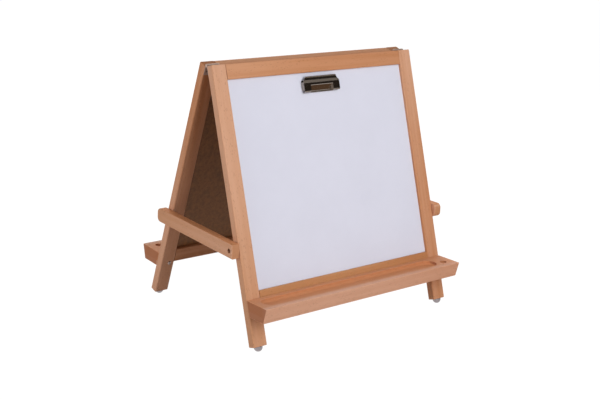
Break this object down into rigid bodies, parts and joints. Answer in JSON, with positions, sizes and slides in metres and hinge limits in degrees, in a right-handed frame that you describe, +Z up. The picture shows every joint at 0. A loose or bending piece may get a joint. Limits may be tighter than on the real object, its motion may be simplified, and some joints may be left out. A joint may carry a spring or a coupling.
{
  "type": "tabletop easel",
  "caption": "Folding tabletop easel: two hinged wooden frames with pencil trays, a magnetic whiteboard with a paper clip, a chalkboard and two side stays.",
  "frame": {"origin": "on the table, midway between the four feet", "axes": "+Z up, -Y towards the front with the whiteboard, +X to the right seen from the front"},
  "size_m": [0.535, 0.4328, 0.515],
  "materials": {
    "beech": "clear-lacquered beech",
    "hardboard": "raw brown hardboard",
    "chalkboard": "hardboard with a matt black chalkboard face",
    "white_enamel": "white dry-wipe lacquer on steel",
    "zinc_steel": "zinc plated",
    "nickel": "nickel plated",
    "chrome_clip": "bright chrome"
  },
  "bodies": {
    "front_frame": {"front_left_leg": "beech", "front_right_leg": "beech", "front_top_rail": "beech", "front_bottom_rail": "beech", "front_rail_dowels": "beech", "front_tray": "beech", "front_tray_screws": "zinc_steel", "front_glides": "nickel", "front_hinge_screws": "zinc_steel", "left_stay_screw": "zinc_steel", "right_stay_peg": "beech", "whiteboard_sheet": "white_enamel", "whiteboard_backing": "hardboard", "left_hinge_front_leaf": "zinc_steel", "right_hinge_front_leaf": "zinc_steel", "hinge_pins": "zinc_steel", "clip_base": "chrome_clip", "clip_pin": "chrome_clip", "clip_spring": "chrome_clip", "clip_rivets": "chrome_clip"},
    "rear_frame": {"rear_left_leg": "beech", "rear_right_leg": "beech", "rear_top_rail": "beech", "rear_bottom_rail": "beech", "rear_rail_dowels": "beech", "rear_tray": "beech", "rear_tray_screws": "zinc_steel", "rear_glides": "nickel", "rear_hinge_screws": "zinc_steel", "right_stay_screw": "zinc_steel", "left_stay_peg": "beech", "chalkboard_panel": "chalkboard", "left_hinge_rear_leaf": "zinc_steel", "right_hinge_rear_leaf": "zinc_steel"},
    "left_stay": {"left_stay": "beech"},
    "right_stay": {"right_stay": "beech"},
    "clip_lever": {"clip_lever": "chrome_clip"}
  },
  "joints": [
    {"name": "frame_fold", "type": "hinge", "parent": "front_frame", "child": "rear_frame", "pos_m": [0, 0, 0.51084], "axis": [-1, 0, 0], "range_deg": [0, 36]},
    {"name": "left_stay_swing", "type": "hinge", "parent": "front_frame", "child": "left_stay", "pos_m": [-0.2505, -0.11779, 0.18635], "axis": [1, 0, 0], "range_deg": [0, 71.3]},
    {"name": "right_stay_swing", "type": "hinge", "parent": "rear_frame", "child": "right_stay", "pos_m": [0.2505, 0.11779, 0.18635], "axis": [-1, 0, 0], "range_deg": [0, 71.3]},
    {"name": "clip_press", "type": "hinge", "parent": "front_frame", "child": "clip_lever", "pos_m": [0, -0.03456, 0.46466], "axis": [-1, 0, 0], "range_deg": [0, 20], "stiffness_Nm_per_rad": 0.25, "springref_deg": -34.38, "deforming": ["clip_spring"]}
  ],
  "couplings": [
    {"joint": "left_stay_swing", "follows": "frame_fold", "ratio": 1.9806},
    {"joint": "right_stay_swing", "follows": "frame_fold", "ratio": 1.9806}
  ]
}
